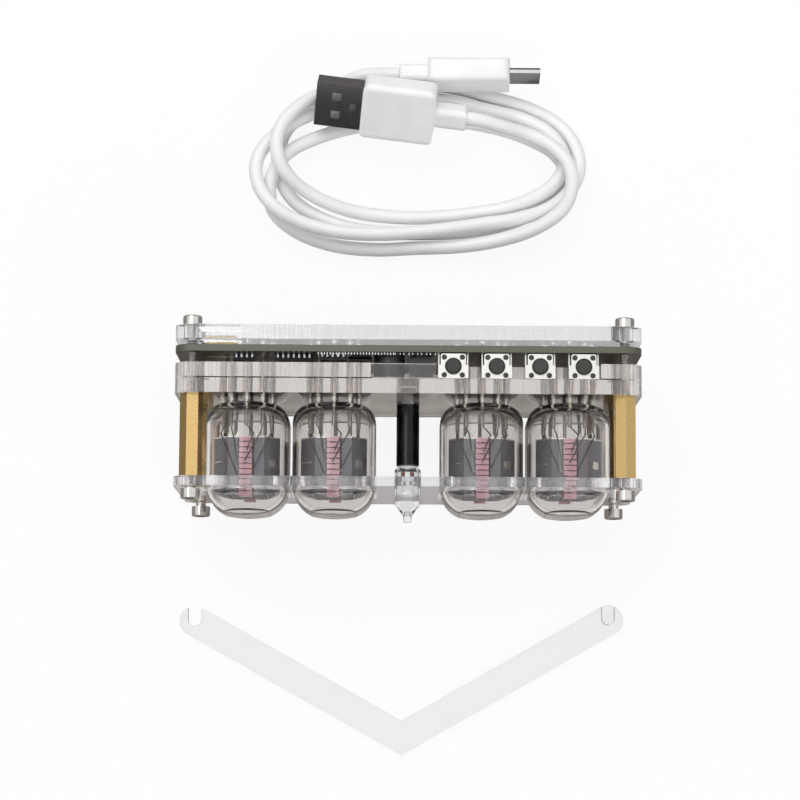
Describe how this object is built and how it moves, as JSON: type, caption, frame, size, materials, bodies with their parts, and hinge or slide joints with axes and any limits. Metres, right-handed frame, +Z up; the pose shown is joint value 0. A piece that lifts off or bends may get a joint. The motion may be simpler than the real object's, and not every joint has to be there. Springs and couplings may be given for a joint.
{
  "type": "glow-tube clock",
  "caption": "Open-frame clock: clear plates on brass standoffs carry glow tubes, a colon lamp, a circuit board and push buttons, with a loose V stand and charging cable.",
  "frame": {"origin": "middle of the mid plate's bottom edge, on the surface the clock stands on", "axes": "+X right along the plates seen from the front, +Y back towards the cable, +Z up"},
  "size_m": [0.113, 0.1764, 0.0469],
  "materials": {
    "clear_back": "polished clear sheet",
    "clear_grey": "clear sheet, warm grey at its edges",
    "clear_front": "thin clear sheet",
    "board": "black board with an olive edge",
    "solder": "bright solder",
    "chip_black": "moulded black chips",
    "component_dark": "dark coil and can",
    "socket_metal": "tinned steel with a warm tint",
    "brass": "satin turned brass",
    "screw_steel": "bright plated screws",
    "tube_glass": "thin blown glass",
    "pin_metal": "tinned pins and dark lead wires",
    "shield_grey": "grey oxidised sheet",
    "digit_metal": "dark stamped sheet",
    "pink_ceramic": "pink unglazed ceramic",
    "mesh_metal": "etched fine net",
    "lamp_glass": "small blown lamp",
    "electrode": "coated red-brown electrodes",
    "sleeve_black": "black shrink sleeve",
    "switch_metal": "bright sheet clips",
    "switch_black": "moulded black plastic",
    "stand_clear": "thin clear sheet",
    "cable_white": "smooth white sleeve",
    "plug_white": "moulded white grips",
    "plug_metal": "folded steel shells",
    "tongue_white": "moulded contact carrier"
  },
  "bodies": {
    "clock": {"back_plate": "clear_back", "spacer_plate": "clear_grey", "mid_plate": "clear_grey", "front_plate": "clear_front", "circuit_board": "board", "solder_joints": "solder", "driver_chips": "chip_black", "power_parts": "component_dark", "usb_socket": "socket_metal", "standoffs": "brass", "front_screws": "screw_steel", "back_screws": "screw_steel", "tube_1_glass": "tube_glass", "tube_1_pins": "pin_metal", "tube_1_shield": "shield_grey", "tube_1_digits": "digit_metal", "tube_1_spacers": "pink_ceramic", "tube_1_mesh": "mesh_metal", "tube_2_glass": "tube_glass", "tube_2_pins": "pin_metal", "tube_2_shield": "shield_grey", "tube_2_digits": "digit_metal", "tube_2_spacers": "pink_ceramic", "tube_2_mesh": "mesh_metal", "tube_3_glass": "tube_glass", "tube_3_pins": "pin_metal", "tube_3_shield": "shield_grey", "tube_3_digits": "digit_metal", "tube_3_spacers": "pink_ceramic", "tube_3_mesh": "mesh_metal", "tube_4_glass": "tube_glass", "tube_4_pins": "pin_metal", "tube_4_shield": "shield_grey", "tube_4_digits": "digit_metal", "tube_4_spacers": "pink_ceramic", "tube_4_mesh": "mesh_metal", "lamp_glass": "lamp_glass", "lamp_electrodes": "electrode", "lamp_sleeve": "sleeve_black", "switch_frames": "switch_metal", "switch_housings": "switch_black", "stand": "stand_clear", "stand_knockout": "stand_clear", "cord": "cable_white", "usb_a_shell": "plug_metal", "usb_a_tongue": "tongue_white", "usb_a_mould": "plug_white", "micro_shell": "plug_metal", "micro_mould": "plug_white"},
    "push_1": {"button_1": "switch_black"},
    "push_2": {"button_2": "switch_black"},
    "push_3": {"button_3": "switch_black"},
    "push_4": {"button_4": "switch_black"}
  },
  "joints": [
    {"name": "press_1", "type": "slide", "parent": "clock", "child": "push_1", "axis": [0, 0, -1], "range_m": [0, 0.00025], "stiffness_N_per_m": 400, "springref_m": -0.0005},
    {"name": "press_2", "type": "slide", "parent": "clock", "child": "push_2", "axis": [0, 0, -1], "range_m": [0, 0.00025], "stiffness_N_per_m": 400, "springref_m": -0.0005},
    {"name": "press_3", "type": "slide", "parent": "clock", "child": "push_3", "axis": [0, 0, -1], "range_m": [0, 0.00025], "stiffness_N_per_m": 400, "springref_m": -0.0005},
    {"name": "press_4", "type": "slide", "parent": "clock", "child": "push_4", "axis": [0, 0, -1], "range_m": [0, 0.00025], "stiffness_N_per_m": 400, "springref_m": -0.0005}
  ]
}
